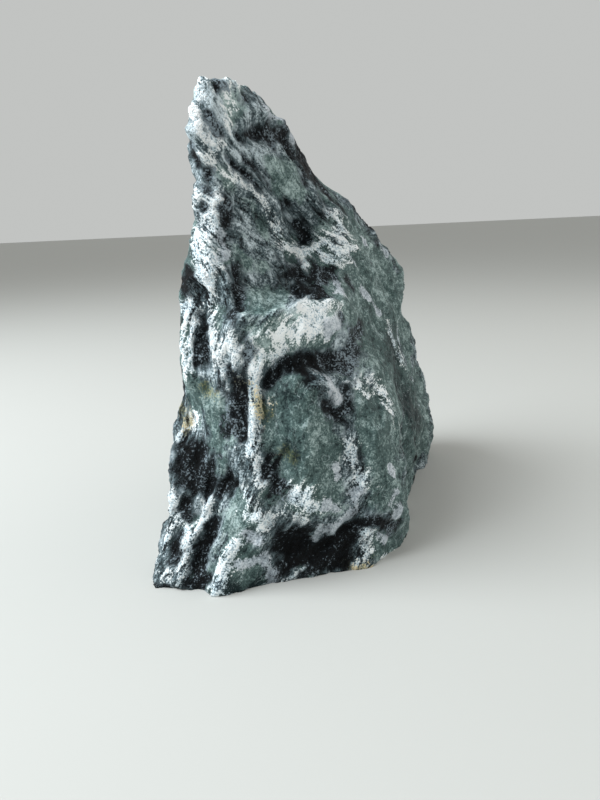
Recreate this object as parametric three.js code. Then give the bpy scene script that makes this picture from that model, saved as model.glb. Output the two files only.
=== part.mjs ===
import * as THREE from 'three';
import { ImprovedNoise } from 'three/addons/math/ImprovedNoise.js';

// A raw block of soapstone, standing on its flat broken base. Millimetres, +Z up.
// The block is a fin seen end on: +X runs to the right of its narrow front end, +Y runs back
// along the fin, and the horn at its top leans over the front left corner.

// Driving sizes of the block
const HEIGHT = 206;
const WORN_EDGE_RADIUS = 2.5;

// Layers of the rock stand upright and run back to the right, at this angle from +X. The
// lumps bend them.
const LAYER_STRIKE = THREE.MathUtils.degToRad(49);
const LAYER_RELIEF = 1.7;
const LAYER_THICKNESS = 15;
const LAYER_LENGTH = 60;
const LAYER_DEPTH = 90;
const LAYER_BEND = 9;
const LAYER_STEEPNESS = 4;

// Lumps and knobs, and how much of them a flat break shows
const LUMP_RELIEF = 2.4;
const LUMP_SIZE = 36;
const KNOB_RELIEF = 1.3;
const KNOB_SIZE = 17;
const BREAK_ROUGHNESS = 0.4;

// Where in the noise this block lies
const LUMP_SHIFT = [7.3, 2.1, 5.7];
const KNOB_SHIFT = [1.9, 8.4, 3.3];
const LAYER_SHIFT = [0, 4.2, 1.6];

// The bulging front, on which the layers hardly show
const FRONT_MIDDLE = [4, -70];
const FRONT_REACH = [34, 30];
const FRONT_CALM = 0.7;

// Fineness of the skin
const POINT_SPACING = 5.25;
const CELL_INSET = 0.07 * POINT_SPACING;
const LATTICE_CORNER = [-96, -104];
const LATTICE_COUNT = [37, 39, 43];
const NEARLY_ZERO = 0.01;

// How a point of the skin is slid into place
const SLIDE_PASSES = 4;
const LONGEST_SLIDE = 1;
const SLOPE_STEP = 0.5;
const LEAST_SLOPE = 0.3;

// Colour and finish of the bare rock
const STONE_COLOUR = 0x5f786e;
const STONE_ROUGHNESS = 0.62;

// The long edges that run from the ground to the horn, as [x, y, z] points from the ground
// up. They are listed around the block, from its left front edge past the front.
const LONG_EDGES = [
  // left front edge, which flares out in a foot
  [[-79, -71, 0], [-73, -70, 16], [-68, -69, 28], [-68, -68, 55], [-58, -66, 78], [-56, -65, 125],
    [-49, -60, 149], [-48, -60, 171], [-52, -63, 182], [-48, -63, 199], [-40, -59, 206]],
  // rib between the narrow left face and the front
  [[-46, -83, 0], [-41, -81, 20], [-33, -78, 40], [-28, -74, 85], [-30, -71, 112], [-36, -66, 140],
    [-38, -66, 192], [-36, -61, 206]],
  // middle of the front, with the shoulder and the set back wall above it
  [[-12, -75, 0], [-11, -78, 35], [-8, -74, 90], [-5, -68, 110], [-8, -60, 118], [-9, -45, 127],
    [-11, -39, 140], [-15, -40, 154], [-23, -54, 180], [-30, -56, 206]],
  // right part of the front, up to the hump behind the shoulder
  [[20, -68, 0], [21, -65, 50], [17, -57, 85], [13, -50, 109], [11, -37, 121], [11, -21, 146],
    [-8, -34, 175], [-20, -46, 196], [-27, -50, 206]],
  // edge between the front and the right face
  [[38, -50, 0], [41, -49, 23], [36, -47, 60], [24, -35, 103], [19, -18, 132], [17, -9, 150],
    [0, -20, 174], [-17, -39, 196], [-27, -49, 206]],
  // middle of the right face
  [[55, 12, 0], [52, 4, 20], [53, 8, 60], [40, 4, 103], [25, 6, 148], [6, -7, 170],
    [-15, -34, 196], [-27, -47, 206]],
  // right back edge, which is also the crest that falls away from the horn
  [[76, 67, 0], [77, 71, 15], [74, 69, 45], [68, 62, 71], [59, 44, 93], [59, 44, 114],
    [47, 37, 135], [30, 24, 152], [16, 8, 165], [4, -4, 175], [-10, -26, 197], [-16, -35, 203],
    [-27, -46, 206]],
  // back, on the right
  [[71, 83, 0], [69, 82, 40], [56, 73, 82], [34, 54, 128], [7, 18, 164], [-14, -19, 197],
    [-27, -42, 206]],
  // back, in the middle
  [[36, 87, 0], [35, 83, 40], [27, 72, 88], [8, 40, 145], [-17, -8, 186], [-28, -43, 206]],
  // back, on the left
  [[-8, 76, 0], [-7, 70, 45], [-12, 48, 108], [-22, 14, 156], [-31, -28, 192], [-33, -46, 206]],
  // left face, from back to front
  [[-42, 50, 0], [-38, 44, 45], [-34, 20, 112], [-37, -14, 160], [-39, -42, 192], [-37, -50, 206]],
  [[-66, 4, 0], [-57, 0, 35], [-49, -10, 100], [-45, -34, 160], [-44, -50, 192], [-39, -53, 206]],
  [[-79, -38, 0], [-71, -38, 30], [-58, -39, 90], [-49, -48, 152], [-48, -57, 194], [-41, -56, 206]],
];

// Ribs, lumps, ledges, grooves and pits. Each lies along the line between two points, and
// lifts the skin by so many millimetres there, or sinks it, out to its reach.
const LANDFORMS = [
  // front: a shoulder, a hollow under its brow, and the bulging face below
  { from: [-26, -69, 113], to: [14, -46, 118], reach: 13, lift: 5 },
  { from: [-24, -74, 99], to: [13, -58, 95], reach: 11, lift: -3.5 },
  { from: [-8, -76, 46], to: [-7, -76, 72], reach: 25, lift: 3 },
  { from: [-30, -75, 56], to: [-29, -72, 97], reach: 9, lift: 3.5 },
  { from: [-20, -76, 52], to: [-19, -74, 92], reach: 8, lift: -2.5 },
  { from: [27, -60, 18], to: [25, -58, 62], reach: 17, lift: 3 },
  { from: [9, -72, 36], to: [9, -66, 80], reach: 9, lift: -2.5 },
  { from: [-16, -78, 20], to: [8, -73, 14], reach: 15, lift: -3.5 },
  // foot: a wedge, a flare at the left corner and the valley between them
  { from: [-31, -78, 42], to: [-46, -87, 3], reach: 15, lift: 3.5 },
  { from: [-60, -76, 22], to: [-75, -75, 2], reach: 12, lift: 3 },
  { from: [-50, -80, 34], to: [-57, -84, 2], reach: 9, lift: -4 },
  { from: [-55, -73, 44], to: [-50, -73, 66], reach: 14, lift: -2.5 },
  // upper wall: a shallow trough, a deep pocket and the hump beside it
  { from: [-22, -58, 132], to: [-18, -52, 160], reach: 16, lift: -3.5 },
  { from: [-6, -40, 145], to: [-4, -32, 151], reach: 13, lift: -10 },
  { from: [-12, -46, 137], to: [2, -42, 137], reach: 7, lift: 2.5 },
  { from: [7, -28, 142], to: [14, -14, 151], reach: 13, lift: 4.5 },
  // horn: two swells above the trough, a notch on its left edge and one on its back
  { from: [-30, -60, 186], to: [-20, -44, 190], reach: 12, lift: 2 },
  { from: [-50, -64, 171], to: [-46, -52, 168], reach: 9, lift: -2.5 },
  { from: [-48, -64, 184], to: [-40, -64, 196], reach: 9, lift: 2 },
  // right face: the recess behind the front lobe, the back lobe and long slanting folds
  { from: [50, -10, 8], to: [42, -24, 44], reach: 19, lift: -5 },
  { from: [76, 62, 20], to: [71, 56, 52], reach: 20, lift: 2 },
  { from: [64, 34, 0], to: [66, 40, 14], reach: 15, lift: -3.5 },
  { from: [22, -8, 140], to: [50, 12, 66], reach: 12, lift: 3 },
  { from: [32, 8, 134], to: [62, 34, 50], reach: 11, lift: -3 },
  { from: [60, 44, 88], to: [70, 62, 84], reach: 9, lift: -2.5 },
  // back: a broad spall scar with a ledge under it, and a rib up to the crest
  { from: [24, 72, 92], to: [6, 58, 112], reach: 36, lift: -7 },
  { from: [-16, 74, 30], to: [60, 84, 54], reach: 14, lift: 4.5 },
  { from: [-12, 66, 60], to: [-26, -4, 172], reach: 14, lift: 4 },
  { from: [50, 80, 56], to: [20, 36, 152], reach: 12, lift: 3 },
  { from: [10, 84, 6], to: [14, 82, 26], reach: 20, lift: -4 },
  // left face: hollows between upright ledges
  { from: [-58, -18, 50], to: [-50, -26, 118], reach: 19, lift: -5 },
  { from: [-76, -30, 16], to: [-52, 28, 24], reach: 13, lift: 3.5 },
  { from: [-40, 26, 66], to: [-38, 2, 138], reach: 15, lift: -4.5 },
  { from: [-52, 14, 40], to: [-42, -10, 134], reach: 9, lift: 3.5 },
  { from: [-66, -48, 40], to: [-52, -50, 134], reach: 10, lift: 2.5 },
];

// Flat breaks, each a plane through a point. What stands out past it is gone.
const BREAKS = [
  // back: two wide faces, the corner between back and right, and the crest's far slope
  { point: [-24, 54, 70], outward: [-0.60, 0.76, 0.25] },
  { point: [26, 72, 84], outward: [0.18, 0.88, 0.44] },
  { point: [64, 80, 56], outward: [0.66, 0.72, 0.22] },
  { point: [-6, 8, 174], outward: [-0.10, 0.66, 0.74] },
  // left face: a high plate and a low one
  { point: [-47, -20, 130], outward: [-0.94, 0.28, 0.19] },
  { point: [-66, -10, 34], outward: [-0.92, 0.36, 0.12] },
  // crest, where it turns down to the right
  { point: [44, 30, 138], outward: [0.86, -0.12, 0.50] },
];

const noise = new ImprovedNoise();
const strikeCos = Math.cos(LAYER_STRIKE);
const strikeSin = Math.sin(LAYER_STRIKE);

// Noise at a point given in units of its own size, between about -1 and 1
function noiseAt(x, y, z, shift) {
  return noise.noise(x + shift[0], y + shift[1], z + shift[2]);
}

// Point of a long edge at one height
function edgeAt(edge, z) {
  const height = THREE.MathUtils.clamp(z, 0, HEIGHT);
  const upper = Math.max(1, edge.findIndex((point) => point[2] >= height));
  const [low, high] = [edge[upper - 1], edge[upper]];
  const share = (height - low[2]) / (high[2] - low[2]);
  return [
    THREE.MathUtils.lerp(low[0], high[0], share),
    THREE.MathUtils.lerp(low[1], high[1], share),
  ];
}

// Distance in a level plane from (x, y) to a closed outline, negative inside it
function distanceToOutline(outline, x, y) {
  let nearest = Infinity;
  let inside = false;
  for (let i = 0, j = outline.length - 1; i < outline.length; j = i, i += 1) {
    const [ax, ay] = outline[i];
    const [bx, by] = outline[j];
    const sideX = bx - ax;
    const sideY = by - ay;
    const length = sideX * sideX + sideY * sideY || 1;
    const share = THREE.MathUtils.clamp(((x - ax) * sideX + (y - ay) * sideY) / length, 0, 1);
    nearest = Math.min(nearest, Math.hypot(x - ax - share * sideX, y - ay - share * sideY));
    if (ay > y !== by > y && x < ax + (sideX * (y - ay)) / sideY) inside = !inside;
  }
  return inside ? -nearest : nearest;
}

// Distance to the block that has sharp edges and plain faces
function sharpBlock(x, y, z) {
  const outline = LONG_EDGES.map((edge) => edgeAt(edge, z));
  return Math.max(distanceToOutline(outline, x, y), z - HEIGHT);
}

// The same block with its edges worn round, as the mean over a small neighbourhood
function wornBlock(x, y, z) {
  const r = WORN_EDGE_RADIUS;
  const sum = 2 * sharpBlock(x, y, z)
    + sharpBlock(x + r, y, z) + sharpBlock(x - r, y, z)
    + sharpBlock(x, y + r, z) + sharpBlock(x, y - r, z)
    + sharpBlock(x, y, z + r) + sharpBlock(x, y, z - r);
  return sum / 8;
}

const landformLines = LANDFORMS.map(({ from, to }) => (
  new THREE.Line3(new THREE.Vector3(...from), new THREE.Vector3(...to))
));

// How far the landforms lift the skin at a point
function landformLift(point) {
  const nearest = new THREE.Vector3();
  return LANDFORMS.reduce((total, { reach, lift }, i) => {
    landformLines[i].closestPointToPoint(point, true, nearest);
    const share = nearest.distanceTo(point) / reach;
    return share < 1 ? total + lift * (1 - share * share) ** 2 : total;
  }, 0);
}

// Lumps, knobs and the upright layers that weather out as steps. The layers show where the
// block is broken across them, and hardly on its bulging front.
function roughLift(x, y, z) {
  const lump = noiseAt(x / LUMP_SIZE, y / LUMP_SIZE, z / LUMP_SIZE, LUMP_SHIFT);
  const knob = noiseAt(x / KNOB_SIZE, y / KNOB_SIZE, z / KNOB_SIZE, KNOB_SHIFT);
  const across = (x * strikeSin - y * strikeCos + LAYER_BEND * lump) / LAYER_THICKNESS;
  const along = (x * strikeCos + y * strikeSin) / LAYER_LENGTH;
  const layer = noiseAt(across, along, z / LAYER_DEPTH, LAYER_SHIFT);
  const frontX = (x - FRONT_MIDDLE[0]) / FRONT_REACH[0];
  const frontY = (y - FRONT_MIDDLE[1]) / FRONT_REACH[1];
  const layerRelief = LAYER_RELIEF * (1 - FRONT_CALM * Math.exp(-(frontX ** 2) - frontY ** 2));
  const layerLift = layerRelief * (1 - LAYER_STEEPNESS * Math.abs(layer));
  return LUMP_RELIEF * lump + KNOB_RELIEF * knob + layerLift;
}

// How far a point stands out past the nearest flat break
function pastBreaks(x, y, z) {
  return Math.max(...BREAKS.map(({ point, outward }) => (
    (x - point[0]) * outward[0] + (y - point[1]) * outward[1] + (z - point[2]) * outward[2]
  )));
}

// Field of the weathered side of the stone, negative inside
function side(x, y, z) {
  const rough = roughLift(x, y, z);
  const body = wornBlock(x, y, z) - landformLift(new THREE.Vector3(x, y, z)) - rough;
  return Math.max(body, pastBreaks(x, y, z) - BREAK_ROUGHNESS * rough);
}

// Slides a point onto the skin, up or down the slope of the field, within the bounds given.
// Bounds with no height keep it level.
function slideToSkin(point, bounds) {
  const step = SLOPE_STEP;
  const level = bounds.min.z === bounds.max.z;
  for (let pass = 0; pass < SLIDE_PASSES; pass += 1) {
    const { x, y, z } = point;
    const slope = new THREE.Vector3(
      side(x + step, y, z) - side(x - step, y, z),
      side(x, y + step, z) - side(x, y - step, z),
      level ? 0 : side(x, y, z + step) - side(x, y, z - step),
    ).divideScalar(2 * step);
    const wanted = -side(x, y, z) / Math.max(slope.lengthSq(), LEAST_SLOPE);
    const slide = THREE.MathUtils.clamp(wanted, -LONGEST_SLIDE, LONGEST_SLIDE);
    point.addScaledVector(slope, slide).clamp(bounds.min, bounds.max);
  }
}

// A lattice of samples around the block. Its lowest two layers lie just below and just above
// the ground, so that the lowest row of cells holds the rim of the base.
const lattice = {
  origin: new THREE.Vector3(...LATTICE_CORNER, -POINT_SPACING / 2),
  count: LATTICE_COUNT,
};

function latticeIndex(i, j, k) {
  return i + lattice.count[0] * (j + lattice.count[1] * k);
}

function latticePoint(i, j, k) {
  return new THREE.Vector3(i, j, k).multiplyScalar(POINT_SPACING).add(lattice.origin);
}

function fillLattice(valueAt) {
  const [countX, countY, countZ] = lattice.count;
  const samples = new Float32Array(countX * countY * countZ);
  for (let k = 0; k < countZ; k += 1) {
    for (let j = 0; j < countY; j += 1) {
      for (let i = 0; i < countX; i += 1) samples[latticeIndex(i, j, k)] = valueAt(i, j, k);
    }
  }
  return samples;
}

// Samples of the side's field, each calmed by its neighbours, so that no relief is finer than
// the lattice can carry. The layer below the ground is all outside.
function sampleLattice() {
  const steps = [1, lattice.count[0], lattice.count[0] * lattice.count[1]];
  const raw = fillLattice((i, j, k) => side(...latticePoint(i, j, k)));
  return fillLattice((i, j, k) => {
    if (k === 0) return 1;
    const here = latticeIndex(i, j, k);
    const inner = [i, j, k].every((n, axis) => n > 0 && n < lattice.count[axis] - 1);
    if (!inner) return raw[here];
    const around = steps.reduce((sum, step) => sum + raw[here - step] + raw[here + step], 0);
    return raw[here] / 2 + around / 12;
  });
}

// Where two diagonal corners of a lattice square are inside and the others outside, the skin
// would touch itself. There the outer corner nearest to the skin is taken as inside too, until
// no such square is left.
function closePinches(samples) {
  const steps = [1, lattice.count[0], lattice.count[0] * lattice.count[1]];
  const squares = [[steps[0], steps[1]], [steps[1], steps[2]], [steps[2], steps[0]]];
  let pinched = true;
  while (pinched) {
    pinched = false;
    for (let here = 2 * steps[2]; here < samples.length - 2 * steps[2]; here += 1) {
      for (const [u, v] of squares) {
        const corners = [here, here + u, here + u + v, here + v];
        const inside = corners.map((n) => samples[n] < 0);
        if (inside[0] === inside[2] && inside[1] === inside[3] && inside[0] !== inside[1]) {
          const outer = corners.filter((n, c) => !inside[c]);
          const nearest = samples[outer[0]] < samples[outer[1]] ? outer[0] : outer[1];
          samples[nearest] = -NEARLY_ZERO;
          pinched = true;
        }
      }
    }
  }
  return samples;
}

// Corners of a cell and the twelve pairs of them that its edges join
const CORNERS = [0, 1, 2, 3, 4, 5, 6, 7].map((n) => [n & 1, (n >> 1) & 1, n >> 2]);
const CELL_EDGES = [[0, 1], [2, 3], [4, 5], [6, 7], [0, 2], [1, 3], [4, 6], [5, 7], [0, 4], [1, 5],
  [2, 6], [3, 7]];

// One skin point for each cell that the skin passes through, or null
function cellPoint(samples, i, j, k) {
  const values = CORNERS.map(([a, b, c]) => samples[latticeIndex(i + a, j + b, k + c)]);
  const crossed = CELL_EDGES.filter(([a, b]) => values[a] < 0 !== values[b] < 0);
  if (crossed.length === 0) return null;
  const point = new THREE.Vector3();
  for (const [a, b] of crossed) {
    const share = values[a] / (values[a] - values[b]);
    point.x += THREE.MathUtils.lerp(CORNERS[a][0], CORNERS[b][0], share);
    point.y += THREE.MathUtils.lerp(CORNERS[a][1], CORNERS[b][1], share);
    point.z += THREE.MathUtils.lerp(CORNERS[a][2], CORNERS[b][2], share);
  }
  point.divideScalar(crossed.length);
  point.add(new THREE.Vector3(i, j, k)).multiplyScalar(POINT_SPACING).add(lattice.origin);
  const bounds = new THREE.Box3(latticePoint(i, j, k), latticePoint(i + 1, j + 1, k + 1));
  bounds.expandByScalar(-CELL_INSET);
  if (k === 0) {
    bounds.min.z = 0;
    bounds.max.z = 0;
  }
  slideToSkin(point.clamp(bounds.min, bounds.max), bounds);
  return point;
}

// The skin of the sides and the crest: a quad around every lattice edge that the skin
// crosses, except the upright edges through the base
function sideFaces(samples) {
  const points = [];
  const cells = new Map();
  const cornerOf = (i, j, k) => {
    const key = latticeIndex(i, j, k);
    if (!cells.has(key)) {
      cells.set(key, points.length);
      points.push(cellPoint(samples, i, j, k));
    }
    return cells.get(key);
  };
  const triangles = [];
  const addQuad = (a, b, c, d) => {
    const acrossFirst = points[a].distanceTo(points[c]) < points[b].distanceTo(points[d]);
    triangles.push(...(acrossFirst ? [[a, b, c], [a, c, d]] : [[a, b, d], [b, c, d]]));
  };
  const axes = [[1, 0, 0], [0, 1, 0], [0, 0, 1]];
  const [countX, countY, countZ] = lattice.count;
  for (let k = 1; k < countZ - 1; k += 1) {
    for (let j = 1; j < countY - 1; j += 1) {
      for (let i = 1; i < countX - 1; i += 1) {
        const here = samples[latticeIndex(i, j, k)] < 0;
        axes.forEach(([a, b, c], axis) => {
          if (here === samples[latticeIndex(i + a, j + b, k + c)] < 0) return;
          const [u, v] = [axes[(axis + 1) % 3], axes[(axis + 2) % 3]];
          const around = [[0, 0], [1, 0], [1, 1], [0, 1]].map(([m, n]) => cornerOf(
            i - m * u[0] - n * v[0],
            j - m * u[1] - n * v[1],
            k - m * u[2] - n * v[2],
          ));
          addQuad(...(here ? around : around.reverse()));
        });
      }
    }
  }
  return { points, triangles };
}

// The rim of the base: the edges that only one side face uses, joined end to end, and turned
// to run the way that the base face needs
function baseRim(triangles) {
  const open = new Map();
  const used = new Set(triangles.flatMap(([a, b, c]) => [`${a}_${b}`, `${b}_${c}`, `${c}_${a}`]));
  for (const name of used) {
    const [a, b] = name.split('_').map(Number);
    if (!used.has(`${b}_${a}`)) open.set(b, a);
  }
  const rim = [open.keys().next().value];
  while (open.get(rim.at(-1)) !== rim[0]) rim.push(open.get(rim.at(-1)));
  return rim;
}

function stoneGeometry() {
  const { points, triangles } = sideFaces(closePinches(sampleLattice()));
  const rim = baseRim(triangles);
  const outline = rim.map((n) => new THREE.Vector2(points[n].x, points[n].y));
  for (const [a, b, c] of THREE.ShapeUtils.triangulateShape(outline, [])) {
    triangles.push([rim[a], rim[c], rim[b]]);
  }
  const geometry = new THREE.BufferGeometry().setFromPoints(points);
  geometry.setIndex(triangles.flat());
  geometry.computeBoundingBox();
  const middle = geometry.boundingBox.getCenter(new THREE.Vector3());
  geometry.translate(-middle.x, -middle.y, 0);
  geometry.computeVertexNormals();
  return geometry;
}

function stoneMaterial() {
  return new THREE.MeshStandardMaterial({
    color: STONE_COLOUR,
    roughness: STONE_ROUGHNESS,
    metalness: 0,
  });
}

const stone = new THREE.Mesh(stoneGeometry(), stoneMaterial());
stone.name = 'soapstone_block';

const rawSoapstone = new THREE.Group();
rawSoapstone.name = 'raw_soapstone';
rawSoapstone.add(stone);

export default rawSoapstone;
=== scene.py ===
import bmesh
import bpy
import numpy as np
from mathutils import Matrix, Vector, noise
from mathutils.bvhtree import BVHTree


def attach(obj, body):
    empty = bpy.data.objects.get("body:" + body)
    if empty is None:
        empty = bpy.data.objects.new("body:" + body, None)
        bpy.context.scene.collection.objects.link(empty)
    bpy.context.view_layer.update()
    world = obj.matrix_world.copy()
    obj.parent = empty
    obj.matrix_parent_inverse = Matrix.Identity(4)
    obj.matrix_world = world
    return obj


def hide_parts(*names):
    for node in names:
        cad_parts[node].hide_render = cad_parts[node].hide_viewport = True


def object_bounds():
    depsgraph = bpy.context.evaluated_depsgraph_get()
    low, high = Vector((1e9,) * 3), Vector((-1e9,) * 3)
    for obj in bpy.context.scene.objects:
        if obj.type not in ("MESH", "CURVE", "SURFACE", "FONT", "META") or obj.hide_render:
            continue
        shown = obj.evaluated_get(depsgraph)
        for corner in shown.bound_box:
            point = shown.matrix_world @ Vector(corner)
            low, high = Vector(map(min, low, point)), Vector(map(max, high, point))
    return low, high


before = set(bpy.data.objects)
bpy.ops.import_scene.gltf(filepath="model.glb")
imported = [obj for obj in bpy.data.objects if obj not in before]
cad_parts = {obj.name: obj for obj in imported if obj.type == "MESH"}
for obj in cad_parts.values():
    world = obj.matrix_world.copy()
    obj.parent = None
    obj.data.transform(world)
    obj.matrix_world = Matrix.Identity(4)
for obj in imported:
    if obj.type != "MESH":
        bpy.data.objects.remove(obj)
cad_low, cad_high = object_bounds()

# Viewpoint: a wide lens held a little above the stone's middle, tipped down at
# it and turned slightly about its own axis. The markings further down are laid
# on the stone along the same sight lines, and are given in its pixels.
IMAGE_WIDTH = 600
IMAGE_HEIGHT = 800
LENS_MM = 27
SENSOR_MM = 36
NEAREST_SEEN = 0.02
EYE = Vector((-0.00795, -0.31013, 0.150))
TO_THE_RIGHT = Vector((0.99895, -0.01269, -0.04410))
UPWARDS = Vector((0.04589, 0.27635, 0.95996))
AHEAD = Vector((0.0, 0.96097, -0.27664))
PIXELS_TO_LENS = IMAGE_HEIGHT * LENS_MM / SENSOR_MM

camera_data = bpy.data.cameras.new("viewpoint")
camera_data.lens = LENS_MM
camera_data.sensor_width = SENSOR_MM
camera_data.clip_start = NEAREST_SEEN
camera = bpy.data.objects.new("viewpoint", camera_data)
view_turn = Matrix((TO_THE_RIGHT, UPWARDS, -AHEAD)).transposed()
camera.matrix_world = Matrix.Translation(EYE) @ view_turn.to_4x4()
bpy.context.scene.collection.objects.link(camera)
bpy.context.scene.camera = camera


# The stone: one block of soapstone, broken off by hand and never cut, of black
# chlorite schist grown through with green talc. It is one solid lump, and only
# its own layers, chips and bruises give it its surface.
MM = 0.001
SAME_PLACE = 1e-6
SUBDIVISION = 3
FACET_SMOOTHING = 7
FACET_SMOOTHING_SHARE = 0.5
TOUCHING = 0.01
NOISE_SEED = 2

# How the layers run, in millimetres: they stand upright, lean over in the foot
# and the horn, swing round up the horn, and are gently bent everywhere.
LAYER_ACROSS = Vector((0.75, -0.66, 0.0))
LAYER_ALONG = Vector((0.66, 0.75, 0.0))
HORN_LEAN = 0.60
HORN_LEAN_FROM = 120
HORN_TURN_FROM = 106
HORN_TURN_OVER = 42.0
HORN_FRONT = -50.0
HORN_DEPTH = 40.0
FOOT_LEAN = -0.42
FOOT_LEAN_BELOW = 50
BEND_SIZE = 38.0
BEND_REACH = 5.0
SMALL_BEND_SIZE = 13.0
SMALL_BEND_REACH = 1.3

# What breaks and wear have left, as sizes and lifts in millimetres. A chip is a
# flat facet with its own tilt, and a ridge is the edge of a layer. Each pattern
# has its own shift, so that no two fall in step.
WORN_LUMP = 12.0
WORN_LUMP_LIFT = 1.1
WORN_FADING = 1.0
CHIP_SIZE = Vector((8.0, 14.0, 17.0))
CHIP_TILT = 0.42
CHIP_SHIFT = Vector((3.1, 0.4, 7.7))
SMALL_CHIP_SIZE = Vector((3.8, 6.0, 8.0))
SMALL_CHIP_TILT = 0.38
SMALL_CHIP_SHIFT = Vector((9.2, 5.5, 1.8))
CHIP_BORDER = 0.10
CELL_MIDDLE = Vector((0.5, 0.5, 0.5))
CELL_SCATTER = 17.3
LAYER_RIDGE = 6.5
LAYER_RIDGE_RUN = Vector((1.0, 4.5, 4.5))
LAYER_RIDGE_LIFT = 1.2
LAYER_RIDGE_MIDDLE = 1.1
LAYER_RIDGE_SHIFT = Vector((4.4, 8.1, 2.6))
LAYER_RIDGE_FADING = 0.8
LAYER_RIDGE_OFFSET = 1.0
LAYER_RIDGE_GAIN = 2.0
GRAIN_SIZE = 2.3
GRAIN_LIFT = 0.42
FINE_GRAIN_SIZE = 1.4
FINE_GRAIN_SHARE = 0.7

# How far the outlines of markings wander from their drawn lines.
WANDER_SIZE = 5.0
WANDER_RUN = 0.5
WANDER_FADING = 0.9

# Every pattern adds finer steps to itself, each this much finer than the last.
FINER_BY = 2.1
STEPS = 3

# The slow fields that lead each mineral where nothing is drawn: size in
# millimetres, what a millimetre along the layers counts for, how fast its finer
# steps fade, their number, and a shift.
SLOW_FIELDS = {
    "black": (26.0, 0.6, 1.1, 4, Vector((1.7, 3.3, 6.1))),
    "jade": (30.0, 0.6, 1.1, 4, Vector((8.4, 0.6, 2.2))),
    "veins": (21.0, 0.3, 1.0, 3, Vector((5.2, 7.4, 1.1))),
}


def lean(height):
    """How far the layers have swung across at a height, in millimetres."""
    above = max(0.0, height - HORN_LEAN_FROM)
    below = max(0.0, FOOT_LEAN_BELOW - height)
    return HORN_LEAN * above - FOOT_LEAN * below


def in_layers(point):
    """Across the layers, along them and up, in millimetres, gently bent.

    Up the horn the layers swing round, until they run straight back.
    """
    bend = noise.noise_vector(point / BEND_SIZE) * BEND_REACH
    bend = bend + noise.noise_vector(point / SMALL_BEND_SIZE) * SMALL_BEND_REACH
    bent = point + bend
    swing = min(1.0, max(0.0, (bent.z - HORN_TURN_FROM) / HORN_TURN_OVER))
    behind_front = min(bent.y - HORN_FRONT, HORN_DEPTH)
    across = bent.dot(LAYER_ACROSS) + lean(bent.z) - LAYER_ACROSS.y * swing * behind_front
    return Vector((across, bent.dot(LAYER_ALONG), bent.z))


def shared_out(point, size):
    """The point counted in cells of that size."""
    return Vector((point.x / size.x, point.y / size.y, point.z / size.z))


def drawn_out(layered, run):
    """The point in the layers, with patterns drawn out along them."""
    return Vector((layered.x, run * layered.y, run * layered.z))


def chipped(cell_point, shift):
    """The slope that a break leaves here: each cell has its own flat tilt."""
    distances, centres = noise.voronoi(cell_point + shift)
    nearest = centres[:2]
    tilts = [noise.cell_vector(c * CELL_SCATTER + shift) - CELL_MIDDLE for c in nearest]
    lifts = [tilt.dot(cell_point + shift - c) for tilt, c in zip(tilts, nearest)]
    border = min(1.0, (distances[1] - distances[0]) / CHIP_BORDER)
    share = 0.5 + 0.5 * border
    return lifts[0] * share + lifts[1] * (1.0 - share)


noise.seed_set(NOISE_SEED)
shaping = bmesh.new()
shaping.from_mesh(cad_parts["soapstone_block"].data)
bmesh.ops.remove_doubles(shaping, verts=shaping.verts[:], dist=SAME_PLACE)
bmesh.ops.subdivide_edges(shaping, edges=shaping.edges[:], cuts=SUBDIVISION, use_grid_fill=True)
bmesh.ops.triangulate(shaping, faces=shaping.faces[:])
off_ground = [v for v in shaping.verts if v.co.z > TOUCHING * MM]
for _ in range(FACET_SMOOTHING):
    bmesh.ops.smooth_vert(
        shaping, verts=off_ground, factor=FACET_SMOOTHING_SHARE,
        use_axis_x=True, use_axis_y=True, use_axis_z=True,
    )
shaping.normal_update()
shaping.verts.ensure_lookup_table()

places = np.array([v.co[:] for v in shaping.verts]) / MM
facing = np.array([v.normal[:] for v in shaping.verts])
pairs = np.array([[v.index for v in e.verts] for e in shaping.edges])
neighbours = np.bincount(pairs.ravel(), minlength=len(places)).astype(float)
on_ground = places[:, 2] < TOUCHING
side_linked = np.zeros(len(places), bool)
side_linked[pairs[~on_ground[pairs[:, 1]], 0]] = True
side_linked[pairs[~on_ground[pairs[:, 0]], 1]] = True
rim = on_ground & side_linked


def averaged(values, rounds):
    """Each vertex's value spread evenly over its neighbours, a number of times."""
    spread = np.array(values, float)
    flat = spread.reshape(len(spread), -1)
    for _ in range(rounds):
        for column in range(flat.shape[1]):
            total = np.bincount(pairs[:, 0], flat[pairs[:, 1], column], len(flat))
            total += np.bincount(pairs[:, 1], flat[pairs[:, 0], column], len(flat))
            flat[:, column] = 0.5 * flat[:, column] + 0.5 * total / neighbours
    return flat.reshape(spread.shape)


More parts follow.
